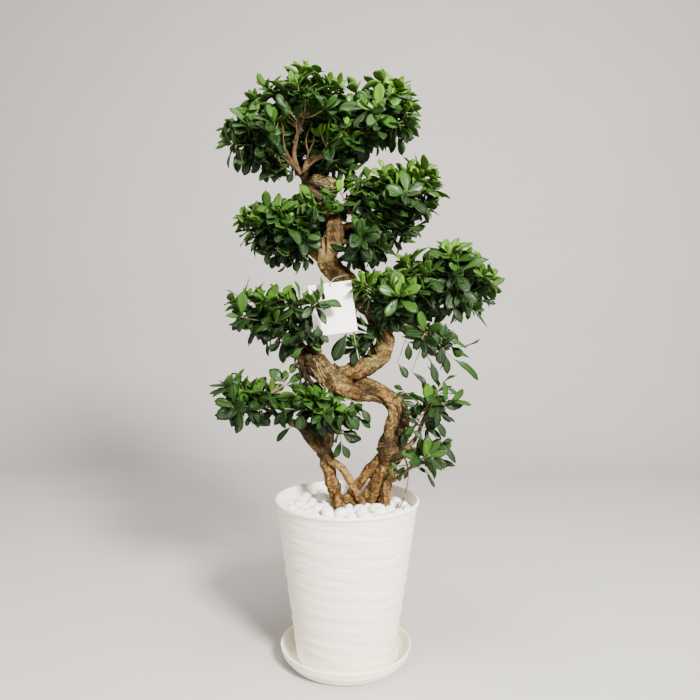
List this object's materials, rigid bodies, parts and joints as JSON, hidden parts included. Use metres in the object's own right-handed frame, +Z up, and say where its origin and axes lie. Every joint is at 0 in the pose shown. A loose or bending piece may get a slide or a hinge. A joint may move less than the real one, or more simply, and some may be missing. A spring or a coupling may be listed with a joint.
{
  "type": "potted banyan tree",
  "caption": "Trained Chinese banyan with entwined S-shaped stems, props of root and pads of small leaves, in a tall tapered pot on a saucer, with a top dressing of pebbles and a hanging card.",
  "frame": {"origin": "middle of the saucer's underside, on the surface that it stands on", "axes": "+Z up, -Y towards the viewer of the picture, +X to that viewer's right"},
  "size_m": [0.498, 0.255, 1.031],
  "materials": {
    "saucer_plastic": "plain white, slightly glossy",
    "pot_plastic": "warm white with soft uneven ribs like a thrown pot",
    "soil": "dark crumbly potting mix",
    "pebbles": "white rounded marble pebbles",
    "bark": "rough tan to grey bark with rings and cracks",
    "foliage": "glossy dark green with lighter young leaves",
    "tag_card": "plain white card",
    "tag_wire": "thin coated tie"
  },
  "bodies": {
    "root": {"saucer": "saucer_plastic", "pot": "pot_plastic", "soil": "soil", "pebbles": "pebbles", "trunk": "bark", "leaves_crownLeft": "foliage", "leaves_crownTop": "foliage", "leaves_crownRight": "foliage", "leaves_crownLow": "foliage", "leaves_crownBack": "foliage", "leaves_secondLeft": "foliage", "leaves_secondRight": "foliage", "leaves_secondLow": "foliage", "leaves_secondFront": "foliage", "leaves_thirdLeft": "foliage", "leaves_thirdRight": "foliage", "leaves_thirdMiddle": "foliage", "leaves_thirdHanging": "foliage", "leaves_fourthLeft": "foliage", "leaves_fourthMiddle": "foliage", "leaves_fifthUpper": "foliage", "leaves_fifthLower": "foliage", "tag": "tag_card", "tag_wire": "tag_wire"}
  },
  "joints": []
}
